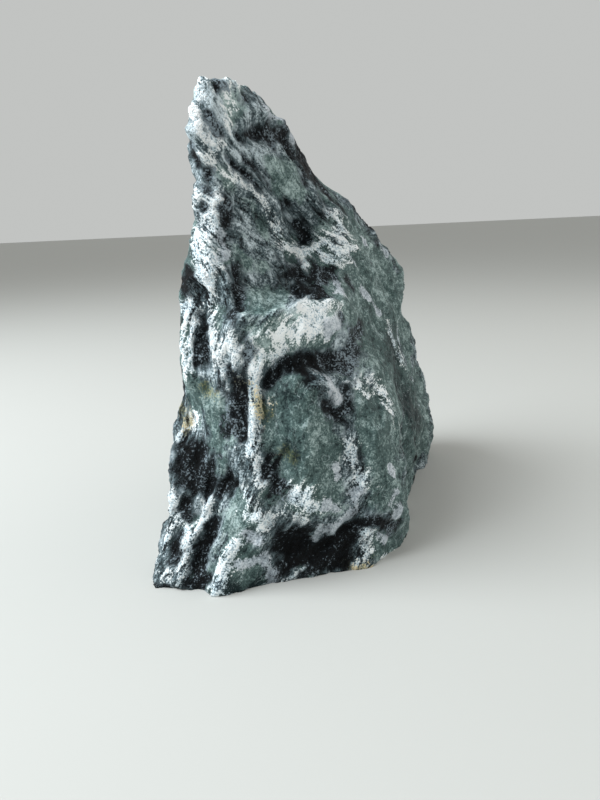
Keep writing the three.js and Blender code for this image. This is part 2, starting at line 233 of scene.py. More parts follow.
layers = np.zeros_like(places)
lift = np.zeros(len(places))
grains = np.zeros(len(places))
wander = np.zeros(len(places))
fields = {name: np.zeros(len(places)) for name in SLOW_FIELDS}
for i, place in enumerate(places):
    point = Vector(place)
    layered = in_layers(point)
    layers[i] = layered
    worn = noise.fractal(point / WORN_LUMP, WORN_FADING, FINER_BY, STEPS) * WORN_LUMP_LIFT
    chip = chipped(shared_out(layered, CHIP_SIZE), CHIP_SHIFT)
    small_chip = chipped(shared_out(layered, SMALL_CHIP_SIZE), SMALL_CHIP_SHIFT)
    ridge = noise.ridged_multi_fractal(
        shared_out(layered, LAYER_RIDGE_RUN) / LAYER_RIDGE + LAYER_RIDGE_SHIFT,
        LAYER_RIDGE_FADING, FINER_BY, STEPS, LAYER_RIDGE_OFFSET, LAYER_RIDGE_GAIN,
    )
    lift[i] = (
        worn
        + chip * CHIP_SIZE.x * CHIP_TILT
        + small_chip * SMALL_CHIP_SIZE.x * SMALL_CHIP_TILT
        + (ridge - LAYER_RIDGE_MIDDLE) * LAYER_RIDGE_LIFT
    )
    fine_grain = FINE_GRAIN_SHARE * noise.noise(point / FINE_GRAIN_SIZE)
    grains[i] = noise.noise(point / GRAIN_SIZE) + fine_grain
    wandering = drawn_out(layered, WANDER_RUN) / WANDER_SIZE
    wander[i] = noise.fractal(wandering, WANDER_FADING, FINER_BY, STEPS)
    for name, (size, run, fading, steps, shift) in SLOW_FIELDS.items():
        slow_place = drawn_out(layered, run) / size + shift
        fields[name][i] = noise.fractal(slow_place, fading, FINER_BY, steps)

BROAD_ROUNDS = 26
convexity = np.einsum("ij,ij->i", places - averaged(places, BROAD_ROUNDS), facing)

# Where the eye sees each spot of the surface, and which spots it can see.
FACES_EYE = 0.02
TURNED_AWAY = -0.2
SIGHT_SLACK = 3.0
eye = np.array(EYE) / MM
surface = BVHTree.FromBMesh(shaping)
toward = places - eye
depth = toward @ np.array(AHEAD)
seen_u = IMAGE_WIDTH / 2 + PIXELS_TO_LENS * (toward @ np.array(TO_THE_RIGHT)) / depth
seen_v = IMAGE_HEIGHT / 2 - PIXELS_TO_LENS * (toward @ np.array(UPWARDS)) / depth
reach = np.linalg.norm(toward, axis=1)
fronting = np.einsum("ij,ij->i", facing, -toward) / reach
on_front = fronting > TURNED_AWAY
seen = fronting > FACES_EYE
for i in np.flatnonzero(seen):
    _, _, _, distance = surface.ray_cast(EYE, Vector(toward[i]))
    seen[i] = distance is not None and distance / MM > reach[i] - SIGHT_SLACK

FAR_OFF = 1e3
SHORTEST_RUN = 1e-6


def sighted(u, v):
    """The spot on the stone along one sight line of the viewpoint."""
    right = (u - IMAGE_WIDTH / 2) / PIXELS_TO_LENS
    down = (v - IMAGE_HEIGHT / 2) / PIXELS_TO_LENS
    spot, _, _, _ = surface.ray_cast(EYE, AHEAD + TO_THE_RIGHT * right - UPWARDS * down)
    return None if spot is None else np.array(spot) / MM


def from_line(line):
    """Each vertex's distance from a line drawn from the viewpoint, in millimetres."""
    spots = [sighted(u, v) for u, v in line]
    spots = [spot for spot in spots if spot is not None]
    if len(spots) == 1:
        return np.linalg.norm(places - spots[0], axis=1)
    nearest = np.full(len(places), FAR_OFF)
    for start, end in zip(spots[:-1], spots[1:]):
        run = end - start
        along = np.clip((places - start) @ run / max(run @ run, SHORTEST_RUN), 0, 1)
        off_it = np.linalg.norm(places - start - along[:, None] * run, axis=1)
        nearest = np.minimum(nearest, off_it)
    return nearest


def soft_band(line, half_width):
    """How fully each vertex lies on a line drawn from the viewpoint, 0 to 1."""
    return np.exp(-((from_line(line) / half_width) ** 2)) * on_front


# Ledges, ridges and grooves that the layers leave, each a line on the surface
# with its height and its half width in millimetres.
LEDGES = [
    (1.8, 3.2, [(249, 318), (282, 315), (300, 306), (343, 304)]),
    (-3.0, 4.8, [(268, 382), (282, 367), (304, 358), (328, 362), (350, 350)]),
    (-1.8, 4.0, [(296, 222), (304, 238)]),
    (1.5, 2.2, [(283, 249), (300, 252), (317, 247)]),
    (1.5, 4.0, [(326, 231), (331, 241)]),
    (-2.4, 3.2, [(238, 266), (242, 282), (238, 302)]),
    (1.4, 2.2, [
        (198, 238), (211, 254), (212, 284), (210, 302), (211, 330), (213, 348), (226, 370),
        (229, 388),
    ]),
    (-1.6, 3.0, [(201, 330), (202, 364)]),
    (-2.2, 2.8, [(245, 342), (247, 372), (243, 410), (242, 438)]),
    (1.3, 3.2, [(254, 370), (256, 396), (251, 428), (249, 454)]),
    (-2.6, 4.4, [(231, 482), (232, 496)]),
    (1.6, 2.6, [(242, 488), (254, 506), (264, 522), (259, 545)]),
    (-2.0, 3.2, [(214, 520), (208, 540), (202, 560), (198, 584)]),
    (1.2, 2.6, [(211, 502), (200, 528), (188, 533), (184, 556), (179, 582)]),
    (1.2, 2.8, [(240, 542), (228, 556), (222, 572), (217, 590)]),
    (-1.4, 8.0, [(286, 545), (340, 548)]),
    (-2.0, 2.8, [(191, 166), (197, 186), (203, 208)]),
    (1.1, 2.4, [(222, 168), (248, 190), (274, 209)]),
    (-1.8, 4.0, [(240, 204), (262, 228)]),
    (-2.0, 3.8, [(240, 137), (262, 131), (284, 138), (293, 154)]),
    (1.4, 2.4, [(241, 112), (262, 112), (280, 123)]),
    (1.2, 1.9, [(323, 378), (331, 389), (338, 398)]),
    (-1.6, 2.8, [(326, 406), (342, 418)]),
    (1.4, 2.2, [(348, 440), (356, 462), (362, 486), (354, 500)]),
    (1.5, 2.6, [(345, 245), (367, 302), (393, 340), (408, 372)]),
    (-2.0, 4.6, [(298, 275), (328, 276)]),
    (-2.2, 3.4, [(226, 212), (226, 238)]),
    (1.6, 3.0, [(189, 100), (195, 130), (206, 160)]),
    (1.5, 4.0, [(211, 84), (224, 82)]),
    (1.0, 4.0, [(188, 104), (187, 122)]),
    (-1.6, 2.6, [(210, 114), (220, 128)]),
    (-1.6, 3.0, [(209, 174), (210, 192)]),
]
for height, half_width, line in LEDGES:
    lift += height * soft_band(line, half_width)

STANDING_ROUNDS = 8
STANDING_LIMIT = 1.2
standing_out = np.clip(lift - averaged(lift, STANDING_ROUNDS), -STANDING_LIMIT, STANDING_LIMIT)

FARTHEST = 14.0
# The minerals in the order in which they lie over one another, and how fully
# each one fills the middle of its own fields.
MINERALS = ("jade", "white", "talc", "black")
FULLEST = {"jade": 9.0, "white": 2.8, "talc": 4.0, "black": 6.0, "ochre": 3.0}
# Left to itself the stone is schist, with each mineral where its own slow
# wandering takes it: talc windows, black seams, long pale veins and bruised edges.
# Where the eye sees, they give way to what is drawn there.
FIELD_SLOPE = 30.0
BLACK_FROM = 0.20
BLACK_HOLLOWS = 2.0
JADE_FROM = -0.08
WHITE_EDGES = 5.0
WHITE_OFF_BLACK = 8.0
WHITE_HELD_BACK = 7.0
VEIN_HALF_WIDTH = 0.8
VEIN_SLOPE = 46.0
HIDDEN_ROUNDS = 10
SEEN_HELD_BACK = 6.0
HIDDEN_SHADE = 0.3
bruised_edges = WHITE_EDGES * convexity - WHITE_OFF_BLACK * fields["black"] - WHITE_HELD_BACK
veins = VEIN_HALF_WIDTH - VEIN_SLOPE * np.abs(fields["veins"])
amount = {
    "black": FIELD_SLOPE * (fields["black"] - BLACK_FROM) - BLACK_HOLLOWS * convexity,
    "jade": FIELD_SLOPE * (fields["jade"] - JADE_FROM),
    "white": np.maximum(bruised_edges, veins),
    "talc": np.full(len(places), -FARTHEST),
    "ochre": np.full(len(places), -FARTHEST),
}
hidden = averaged((~seen).astype(float), HIDDEN_ROUNDS)
for mineral in MINERALS:
    amount[mineral] -= SEEN_HELD_BACK * (1.0 - hidden)
    np.clip(amount[mineral], -FARTHEST, FULLEST[mineral], out=amount[mineral])
shade = HIDDEN_SHADE * fields["jade"] * hidden


def lay(mineral, laid):
    """One marking over what is there: laid is millimetres inside its outline."""
    laid = np.clip(laid, -FARTHEST, FARTHEST)
    if mineral in amount:
        filled = np.minimum(laid, FULLEST[mineral])
        np.maximum(amount[mineral], filled, out=amount[mineral])
    if mineral == "ochre":
        return
    over_it = MINERALS[MINERALS.index(mineral) + 1:] if mineral in MINERALS else MINERALS
    for other in over_it:
        np.minimum(amount[other], -laid, out=amount[other])


def inside_outline(outline):
    """Millimetres inside an outline drawn from the viewpoint, for what it sees."""
    corners = np.array(outline, float)
    after = np.roll(corners, -1, axis=0)
    nearest = np.full(len(places), FAR_OFF)
    crossings = np.zeros(len(places), int)
    for (u0, v0), (u1, v1) in zip(corners, after):
        run = np.array((u1 - u0, v1 - v0))
        off_u, off_v = seen_u - u0, seen_v - v0
        along = (off_u * run[0] + off_v * run[1]) / max(run @ run, SHORTEST_RUN)
        along = np.clip(along, 0, 1)
        nearest = np.minimum(nearest, np.hypot(off_u - along * run[0], off_v - along * run[1]))
        spans = (v0 > seen_v) != (v1 > seen_v)
        crossing_u = u0 + (seen_v - v0) * run[0] / (run[1] if run[1] else SHORTEST_RUN)
        crossings += spans & (seen_u < crossing_u)
    signed = np.where(crossings % 2 == 1, nearest, -nearest) * depth / PIXELS_TO_LENS
    return np.where(seen, signed, -FARTHEST)


# Patches: the larger fields of one mineral, outlined from the viewpoint. Their
# edges wander by so many millimetres, and those of the streaks do too.
PATCH_WANDER = 2.0
STREAK_WANDER = 2.4
PATCHES = [
    ("horn", "schist", [(186, 76), (262, 86), (300, 160), (300, 200), (190, 200), (180, 120)]),
    ("horn white cap", "white", [
        (196, 80), (206, 74), (224, 73), (226, 79), (210, 80), (202, 90),
    ]),
    ("horn left white", "white", [
        (186, 100), (198, 98), (204, 112), (200, 124), (192, 124), (185, 116),
    ]),
    ("horn pale middle", "jade", [
        (224, 84), (240, 88), (246, 108), (236, 126), (226, 128), (220, 104),
    ]),
    ("horn pale lane", "white", [
        (226, 86), (233, 88), (229, 104), (231, 122), (225, 128), (221, 106),
    ]),
    ("horn pale column", "white", [
        (205, 132), (218, 130), (222, 146), (218, 164), (210, 164), (205, 150),
    ]),
    # painted shade: black laid along the shadowed step under the horn top
    ("horn arch band", "black", [
        (238, 134), (246, 126), (262, 123), (282, 125), (292, 136), (297, 156), (286, 154),
        (276, 143), (258, 140), (246, 144),
    ]),
    ("horn green", "jade", [
        (262, 158), (284, 154), (298, 166), (311, 194), (300, 204), (284, 200), (270, 190),
    ]),
    ("bluish patch", "white", [
        (200, 192), (218, 190), (222, 212), (219, 236), (204, 240), (196, 222),
    ]),
    ("hump green", "jade", [(313, 214), (336, 216), (334, 240), (318, 246)]),
    # partly dark mineral, partly painted shade in the hollow of the pocket
    ("pocket", "black", [
        (297, 215), (303, 217), (311, 229), (309, 241), (302, 242), (297, 231),
    ]),
    ("blue black band", "black", [
        (276, 256), (298, 264), (336, 262), (341, 274), (334, 285), (298, 287), (280, 276),
    ]),
    ("bright slope", "white", [
        (338, 222), (352, 228), (352, 246), (340, 266), (322, 262), (328, 246),
    ]),
    ("ledge green", "jade", [
        (240, 290), (262, 284), (292, 289), (290, 306), (270, 318), (246, 320),
    ]),
    ("shoulder", "jade", [
        (246, 322), (264, 316), (290, 312), (304, 300), (334, 300), (348, 314), (346, 332),
        (328, 348), (300, 350), (284, 358), (268, 368), (248, 368), (241, 346),
    ]),
    ("shoulder crest", "white", [
        (252, 330), (268, 326), (284, 324), (296, 314), (304, 302), (326, 302), (336, 312),
        (330, 324), (322, 334), (302, 340), (284, 352), (268, 366), (248, 366), (242, 348),
    ]),
    ("shoulder end", "talc", [(322, 322), (336, 312), (345, 318), (343, 330), (328, 336)]),
    ("crest green", "jade", [(264, 321), (296, 316), (294, 327), (272, 334)]),
    ("crest hollow", "jade", [(258, 340), (284, 334), (292, 340), (268, 350)]),
    ("arch", "black", [
        (258, 388), (263, 372), (280, 361), (296, 353), (314, 352), (330, 356), (352, 334),
        (366, 342), (362, 368), (350, 384), (344, 374), (326, 372), (305, 376), (286, 369),
        (272, 384),
    ]),
    ("window", "jade", [
        (260, 392), (272, 384), (286, 372), (304, 380), (318, 392), (322, 408), (330, 420),
        (336, 434), (346, 442), (342, 456), (341, 482), (346, 502), (336, 514), (318, 517),
        (300, 521), (290, 512), (283, 496), (272, 470), (264, 450), (259, 420),
    ]),
    ("right window", "jade", [
        (352, 388), (366, 380), (386, 398), (398, 424), (404, 470), (398, 506), (380, 516),
        (366, 506), (368, 480), (362, 455), (354, 424),
    ]),
    ("right face", "jade", [
        (338, 214), (362, 222), (392, 262), (408, 300), (412, 350), (430, 400), (430, 450),
        (408, 470), (396, 440), (380, 396), (368, 370), (362, 330), (352, 290), (350, 250),
    ]),
    ("dark left", "black", [
        (176, 440), (198, 436), (226, 470), (238, 486), (228, 500), (206, 498), (184, 490),
        (172, 470),
    ]),
    ("base black", "black", [
        (272, 530), (292, 520), (312, 526), (332, 534), (346, 524), (360, 514), (400, 512),
        (400, 536), (374, 528), (362, 536), (353, 550), (351, 570), (300, 580), (272, 586),
        (276, 560),
    ]),
    ("foot wedge", "jade", [
        (242, 486), (255, 505), (263, 520), (256, 546), (272, 576), (270, 592), (240, 598),
        (220, 596), (202, 586), (212, 560), (225, 535), (220, 512), (225, 497),
    ]),
    ("foot right", "jade", [
        (374, 528), (396, 536), (400, 550), (380, 562), (370, 560), (370, 540),
    ]),
    ("left pale green", "jade", [
        (197, 388), (212, 388), (229, 396), (226, 416), (205, 419), (196, 408),
    ]),
    ("left triangle", "jade", [(185, 243), (199, 246), (197, 263), (186, 258)]),
    ("left strip", "jade", [(211, 303), (224, 303), (223, 331), (212, 331)]),
]
for _, mineral, outline in PATCHES:
    lay(mineral, inside_outline(outline) + PATCH_WANDER * wander)

# Streaks and spots: narrower markings, each a line on the surface with its
# half width in millimetres.
STREAKS = [
    ("black", 2.2, [(211, 88), (221, 84)]),
    ("black", 3.0, [(211, 116), (219, 125)]),
    ("black", 1.6, [(243, 98), (256, 104)]),
    ("black", 1.6, [(250, 88), (264, 98)]),
    ("talc", 1.8, [(262, 108), (270, 113), (280, 121)]),
    ("talc", 1.4, [(284, 124), (291, 140)]),
    ("black", 2.4, [(246, 163), (258, 172), (266, 184)]),
    ("black", 1.6, [(226, 158), (240, 168), (252, 190)]),
    ("black", 2.4, [(186, 130), (193, 150), (199, 168)]),
    ("black", 2.6, [(206, 172), (208, 188)]),
    ("black", 2.2, [(193, 168), (197, 186), (201, 206)]),
    ("jade", 3.2, [(220, 170), (229, 186)]),
    ("white", 0.5, [(228, 168), (248, 188), (266, 206), (280, 234)]),
    ("black", 2.8, [(226, 202), (227, 220), (226, 236)]),
    ("talc", 3.2, [(221, 238), (227, 250)]),
    ("black", 2.2, [(287, 204), (294, 211)]),
    ("black", 2.2, [(322, 206), (326, 215)]),
    ("white", 1.9, [(284, 247), (300, 250), (318, 246), (328, 238)]),
    ("white", 1.5, [(292, 260), (305, 266)]),
    ("black", 2.4, [(347, 278), (352, 289)]),
    ("talc", 2.8, [(336, 284), (341, 294)]),
    # painted shadow: black laid where the left rib casts its shadow
    ("black", 3.6, [(238, 268), (241, 282), (239, 298)]),
    ("black", 2.4, [(234, 300), (234, 316)]),
    ("black", 2.8, [(186, 268), (192, 274)]),
    ("black", 2.2, [(181, 281), (184, 292)]),
    ("white", 1.4, [(197, 240), (200, 270), (205, 297)]),
    ("white", 1.4, [(211, 254), (212, 284), (210, 302), (211, 330)]),
    ("white", 3.8, [(184, 310), (194, 316)]),
    ("black", 1.6, [(199, 314), (206, 328)]),
    ("white", 2.6, [(184, 332), (187, 348), (186, 366)]),
    # black along a groove, partly painted shade
    ("black", 2.6, [(200, 336), (201, 350), (202, 362)]),
    ("white", 1.5, [(214, 332), (213, 348), (226, 370), (229, 388)]),
    ("white", 2.2, [(226, 342), (234, 343)]),
    # black along a groove, partly painted shade
    ("black", 2.8, [(250, 341), (251, 352)]),
    # black along a groove, partly painted shade
    ("black", 2.6, [(246, 372), (247, 388)]),
    ("white", 3.8, [(254, 374), (256, 386), (256, 398)]),
    ("white", 3.6, [(253, 402), (252, 428), (251, 446)]),
    ("white", 2.2, [(249, 452), (256, 464), (262, 480)]),
    # black along a groove, partly painted shade
    ("black", 2.8, [(243, 410), (242, 436)]),
    ("white", 1.4, [(179, 436), (188, 424), (197, 414)]),
    ("jade", 2.4, [(216, 408), (218, 420)]),
    ("jade", 1.8, [(222, 447), (221, 470)]),
    ("black", 3.6, [(268, 458), (272, 474), (278, 492)]),
    ("black", 3.4, [(328, 404), (336, 412)]),
    ("black", 3.0, [(346, 390), (348, 408)]),
    ("black", 2.8, [(338, 420), (346, 428)]),
    ("talc", 3.4, [(328, 380), (332, 390), (337, 397)]),
    ("white", 1.6, [(313, 367), (322, 369)]),
    ("white", 1.4, [(348, 440), (352, 454)]),
    ("white", 2.2, [(352, 458), (358, 470), (362, 482)]),
    ("talc", 2.2, [(336, 466), (337, 475)]),
    ("talc", 2.0, [(392, 469), (394, 476)]),
    ("white", 2.6, [(293, 494), (302, 499)]),
    ("white", 2.2, [(306, 504), (313, 509)]),
    ("white", 1.8, [(293, 518), (303, 522)]),
    ("talc", 1.4, [(326, 506), (338, 509)]),
    ("talc", 1.6, [(351, 493), (362, 492)]),
    ("talc", 1.0, [(354, 498), (358, 510)]),
    ("talc", 2.2, [(356, 514), (342, 522), (329, 530)]),
    ("talc", 1.8, [(320, 528), (315, 541)]),
    ("talc", 1.9, [(397, 492), (388, 504)]),
    ("talc", 2.8, [(390, 514), (398, 511)]),
    ("talc", 1.8, [(380, 536), (388, 539)]),
    ("white", 1.7, [(365, 532), (369, 540), (365, 553), (365, 567)]),
    ("white", 1.7, [(362, 543), (358, 567)]),
    ("talc", 0.9, [(279, 554), (281, 556)]),
    ("talc", 0.7, [(303, 570), (306, 573)]),
    ("white", 1.2, [(274, 579), (290, 577), (304, 574)]),
    ("talc", 2.8, [(264, 560), (270, 570), (273, 580)]),
    ("white", 3.6, [(256, 514), (263, 522)]),
    ("talc", 3.4, [(248, 536), (254, 538)]),
    ("white", 1.8, [(240, 542), (229, 555), (224, 566), (221, 581), (217, 590)]),
    ("talc", 1.8, [(238, 566), (248, 562), (258, 560)]),
    ("white", 1.3, [(245, 491), (253, 500), (260, 509)]),
    ("black", 4.4, [(210, 530), (203, 548), (200, 566), (198, 582)]),
    ("black", 3.0, [(182, 500), (188, 512)]),
    ("white", 1.8, [(211, 502), (205, 515), (200, 528)]),
    ("white", 1.7, [(190, 530), (186, 545), (182, 562), (179, 582)]),
    ("black", 2.8, [(178, 538), (173, 556)]),
    ("white", 1.9, [(176, 522), (168, 536), (162, 552)]),
    ("white", 1.8, [(161, 578), (169, 576)]),
    ("white", 1.5, [(169, 482), (172, 496), (174, 510)]),
    ("white", 0.5, [(342, 378), (358, 386), (372, 396)]),
    ("white", 0.5, [(362, 374), (382, 392), (396, 418)]),
    ("talc", 1.3, [(349, 254), (358, 272)]),
    ("talc", 1.8, [(360, 288), (370, 303), (379, 314)]),
    ("white", 1.3, [(386, 328), (394, 342), (402, 362)]),
    ("talc", 1.8, [(361, 237), (366, 244)]),
    ("talc", 2.0, [(380, 244), (385, 251)]),
    ("white", 1.8, [(327, 214), (345, 215), (366, 219)]),
    ("ochre", 2.2, [(259, 399), (262, 406), (264, 411)]),
    ("ochre", 1.0, [(237, 382), (241, 384)]),
    ("ochre", 2.4, [(181, 408), (183, 422)]),
    ("ochre", 1.0, [(205, 388), (214, 394)]),
    ("ochre", 1.4, [(286, 452), (291, 457)]),
    ("ochre", 1.6, [(349, 568), (360, 569), (371, 566)]),
]
for mineral, half_width, line in STREAKS:
    laid = half_width - from_line(line) + STREAK_WANDER * wander
    lay(mineral, np.where(on_front, laid, -FARTHEST))

# Lighter and darker runs, as soft spots: partly the minerals' own tone and partly painted light and
# shade.
SHADES = [
    (0.17, 15.0, [(206, 92), (240, 96), (262, 112)]),
    (0.36, 7.0, [(190, 100), (195, 118)]),
    (0.28, 6.0, [(228, 88), (226, 112)]),
    (-0.04, 5.0, [(208, 84), (222, 92)]),
    (0.10, 10.0, [(214, 130), (230, 160)]),
    (0.14, 10.0, [(262, 168), (296, 188)]),
    (0.06, 14.0, [(236, 200), (262, 236)]),
    (0.10, 8.0, [(200, 196), (206, 230)]),
    (0.10, 6.0, [(318, 228), (330, 234)]),
    (0.10, 8.0, [(262, 290), (268, 312)]),
    (0.10, 14.0, [(366, 250), (388, 300)]),
    # painted shade down the lower right face, turned away from the light
    (-0.40, 16.0, [(392, 350), (402, 400), (418, 420)]),
    (-0.04, 10.0, [(196, 450), (196, 490)]),
    (-0.15, 7.0, [(286, 394), (312, 398)]),
    (-0.08, 14.0, [(290, 400), (300, 440), (300, 480)]),
    (-0.12, 6.0, [(286, 424), (288, 440)]),
    (0.18, 7.0, [(314, 432), (314, 466)]),
    (-0.12, 7.0, [(300, 455), (322, 460)]),
    (0.14, 6.0, [(232, 505), (236, 530)]),
    # painted shade along the foot's low edge, which faces down
    (-0.50, 5.0, [(222, 590), (246, 588), (264, 584)]),
    (-0.12, 7.0, [(374, 500), (366, 512)]),
    # painted shade along the base
    (-0.30, 10.0, [(290, 548), (340, 552)]),
    # painted shade in the recess under the brow of the shoulder crest
    (-0.20, 6.0, [(278, 368), (310, 362)]),
    (0.22, 8.0, [(352, 342), (354, 366)]),
    (-0.24, 8.0, [(190, 250), (192, 296)]),
    (0.10, 7.0, [(208, 400), (224, 404)]),
    (0.16, 8.0, [(205, 340), (215, 372)]),
    (0.06, 5.0, [(255, 380), (253, 440)]),
    # painted light on the shoulder crest, which faces up to the light
    (0.34, 8.0, [(254, 354), (284, 348)]),
    (0.34, 8.0, [(296, 314), (334, 314)]),
    (-0.20, 4.0, [(330, 330), (343, 326)]),
    (0.24, 4.0, [(330, 384), (337, 398)]),
    (0.20, 7.0, [(340, 355), (356, 362)]),
    (0.20, 5.0, [(250, 456), (260, 478)]),
]
for strength, half_width, line in SHADES:
    shade += strength * soft_band(line, half_width)

# High spots are painted paler, partly as bruising and partly as painted light, and hollows are
# painted darker with black grains as painted shade.
BRUISED_AND_LIT_HIGH = 2.4
HOLLOW_PAINTED_SHADE = 2.2
PAINTED_LIGHT_ON_HIGH = 0.12
amount["white"] += BRUISED_AND_LIT_HIGH * standing_out
amount["black"] -= HOLLOW_PAINTED_SHADE * standing_out
shade += PAINTED_LIGHT_ON_HIGH * standing_out

# The surface follows what it is made of: chlorite crumbles into the face,
# talc windows wear smooth.
JADE_WORN = 0.75
JADE_WORN_BY = 2.5
WORN_ROUNDS = 3
LIFT_KEPT = 0.55
LIFT_WHERE_ROUGH = 0.45
BLACK_SUNK = 0.30
BLACK_SUNK_OVER = 6.0
TALC_RAISED = 0.25
TALC_RAISED_BY = 1.5
rough_share = 1.0 - JADE_WORN * np.clip(amount["jade"] / JADE_WORN_BY, 0, 1)
lift *= LIFT_KEPT + LIFT_WHERE_ROUGH * averaged(rough_share, WORN_ROUNDS)
lift += grains * GRAIN_LIFT * rough_share
lift -= BLACK_SUNK * np.clip(0.5 + amount["black"] / BLACK_SUNK_OVER, 0, 1)
lift += TALC_RAISED * np.clip(amount["talc"] / TALC_RAISED_BY, 0, 1)

# Down to its base face the relief fades out upwards and downwards, so that the
# stone still rests flat, and nowhere does it leave the solid's box.
FLATTENED_BELOW = 5.0
moved = facing * lift[:, None]
moved[:, 2] *= np.clip(places[:, 2] / FLATTENED_BELOW, 0, 1)
moved[on_ground & ~rim] = 0.0
finished = np.clip(places + moved, np.array(cad_low) / MM, np.array(cad_high) / MM)
for vertex, place in zip(shaping.verts, finished):
    vertex.co = Vector(place) * MM
for face in shaping.faces:
    face.smooth = True

stone_mesh = bpy.data.meshes.new("raw_soapstone_surface")
shaping.to_mesh(stone_mesh)
shaping.free()
for name, values in {**amount, "shade": shade}.items():
    field = stone_mesh.attributes.new(name, "FLOAT", "POINT")
    field.data.foreach_set("value", values.astype(np.float32))
field = stone_mesh.attributes.new("layers", "FLOAT_VECTOR", "POINT")
field.data.foreach_set("vector", layers.astype(np.float32).ravel())
stone = bpy.data.objects.new("raw_soapstone_surface", stone_mesh)
bpy.context.scene.collection.objects.link(stone)

# Its finish: five minerals side by side, each with its own grain, their
# outlines broken up grain by grain.


def linear(red, green, blue):
    """A colour as a painter names it, 0 to 255, in the shader's own light."""
    parts = [c / 255 for c in (red, green, blue)]
    parts = [c / 12.92 if c <= 0.04045 else ((c + 0.055) / 1.055) ** 2.4 for c in parts]
    return tuple(parts) + (1.0,)


def add_node(tree, kind, values=None, **settings):
    """A node with its settings, and its sockets set or joined up."""
    node = tree.nodes.new(kind)
    for name, value in settings.items():
        setattr(node, name, value)
    for socket, value in (values or {}).items():
        if isinstance(value, bpy.types.NodeSocket):
            tree.links.new(value, node.inputs[socket])
        else:
            node.inputs[socket].default_value = value
    return node


def sum_up(tree, operation, *values, clamp=False):
    """One step of arithmetic in a node tree."""
    values = dict(enumerate(values))
    return add_node(tree, "ShaderNodeMath", values, operation=operation, use_clamp=clamp).outputs[0]


# The sockets of a Mix node that belong to colours: its share, the colour under,
# the colour over, and what comes out.
MIX_SHARE, MIX_UNDER, MIX_OVER, MIX_RESULT = 0, 6, 7, 2


def painted_over(tree, share, under, over, **settings):
    """One colour laid over another, as fully as the share says."""
    values = {MIX_SHARE: share, MIX_UNDER: under, MIX_OVER: over}
    mix = add_node(tree, "ShaderNodeMix", values, data_type="RGBA", **settings)
    return mix.outputs[MIX_RESULT]


def new_group(name, inputs, outputs):
    """An empty shader group with named sockets."""
    group = bpy.data.node_groups.new(name, "ShaderNodeTree")
    for in_out, sockets in (("INPUT", inputs), ("OUTPUT", outputs)):
        for socket, kind in sockets:
            kind = "NodeSocket" + kind
            group.interface.new_socket(name=socket, in_out=in_out, socket_type=kind)
    given = group.nodes.new("NodeGroupInput").outputs
    return group, given, group.nodes.new("NodeGroupOutput").inputs


def use_group(tree, group, values):
    """One use of a shader group."""
    return add_node(tree, "ShaderNodeGroup", values, node_tree=group).outputs


# An outline broken up: each pattern carries it in or out by up to half its reach.
ragged, given, out = new_group(
    "ragged_outline",
    [("Amount", "Float"), ("Coarse", "Float"), ("Fine", "Float"), ("Coarse Reach", "Float"),
     ("Fine Reach", "Float"), ("Streak", "Float"), ("Streak Reach", "Float"),
     ("Blotch", "Float"), ("Blotch Reach", "Float"), ("Softness", "Float")],
    [("Mask", "Float")],
)
broken = given["Amount"]
for pattern in ("Coarse", "Fine", "Streak", "Blotch"):
    off_middle = sum_up(ragged, "SUBTRACT", given[pattern], 0.5)
    part = sum_up(ragged, "MULTIPLY", off_middle, given[pattern + " Reach"])
    broken = sum_up(ragged, "ADD", broken, part)
edge = add_node(
    ragged, "ShaderNodeMapRange",
    {"Value": sum_up(ragged, "DIVIDE", broken, given["Softness"]),
     "From Min": -1.0, "From Max": 1.0},
    interpolation_type="SMOOTHSTEP",
)
ragged.links.new(edge.outputs[0], out["Mask"])

# A mineral's colour: from dark through middle to light as the patterns take it.
mineral_group, given, out = new_group(
    "mineral_colour",
    [("Dark", "Color"), ("Middle", "Color"), ("Light", "Color"), ("Level", "Float"),
     ("Grain", "Float"), ("Mottle", "Float"), ("Streak", "Float"), ("Fine Grain", "Float"),
     ("Mottling", "Float"), ("Streaks", "Float"), ("Shade", "Float")],
    [("Colour", "Color")],
)
level = sum_up(mineral_group, "ADD", given["Level"], given["Shade"])
for pattern, strength in (("Fine Grain", "Grain"), ("Mottling", "Mottle"), ("Streaks", "Streak")):
    off_middle = sum_up(mineral_group, "SUBTRACT", given[pattern], 0.5)
    level = sum_up(mineral_group, "MULTIPLY_ADD", off_middle, given[strength], level)
lower_half = sum_up(mineral_group, "MULTIPLY", level, 2.0, clamp=True)
upper_half = sum_up(mineral_group, "MULTIPLY_ADD", level, 2.0, -1.0, clamp=True)
darker = painted_over(mineral_group, lower_half, given["Dark"], given["Middle"])
lighter = painted_over(mineral_group, upper_half, darker, given["Light"])
mineral_group.links.new(lighter, out["Colour"])

stone_finish = bpy.data.materials.new("raw_soapstone")
stone_finish.use_nodes = True
tree = stone_finish.node_tree
surface_shader = tree.nodes["Principled BSDF"]


def attribute(name, output="Fac"):
    """What the surface itself carries under that name."""
    return add_node(tree, "ShaderNodeAttribute", attribute_name=name).outputs[output]


NOISE_ROUGHNESS = 0.6


def noisy(vector, scale, detail, half_range):
    """Noise with its middle at a half, stretched to use its whole range."""
    texture = add_node(
        tree, "ShaderNodeTexNoise",
        {"Vector": vector, "Scale": scale, "Detail": detail, "Roughness": NOISE_ROUGHNESS},
    )
    spread = add_node(
        tree, "ShaderNodeMapRange",
        {"Value": texture.outputs["Fac"],
         "From Min": 0.5 - half_range, "From Max": 0.5 + half_range},
    )
    return spread.outputs[0]


def stretched(vector, x, y, z):
    """A place with its three measures counted larger or smaller."""
    return add_node(tree, "ShaderNodeMapping", {"Vector": vector, "Scale": (x, y, z)}).outputs[0]


def blended(first, first_share, second, second_share):
    """Two patterns added up, each by its own share."""
    first_part = sum_up(tree, "MULTIPLY", first, first_share)
    second_part = sum_up(tree, "MULTIPLY", second, second_share)
    return sum_up(tree, "ADD", first_part, second_part)


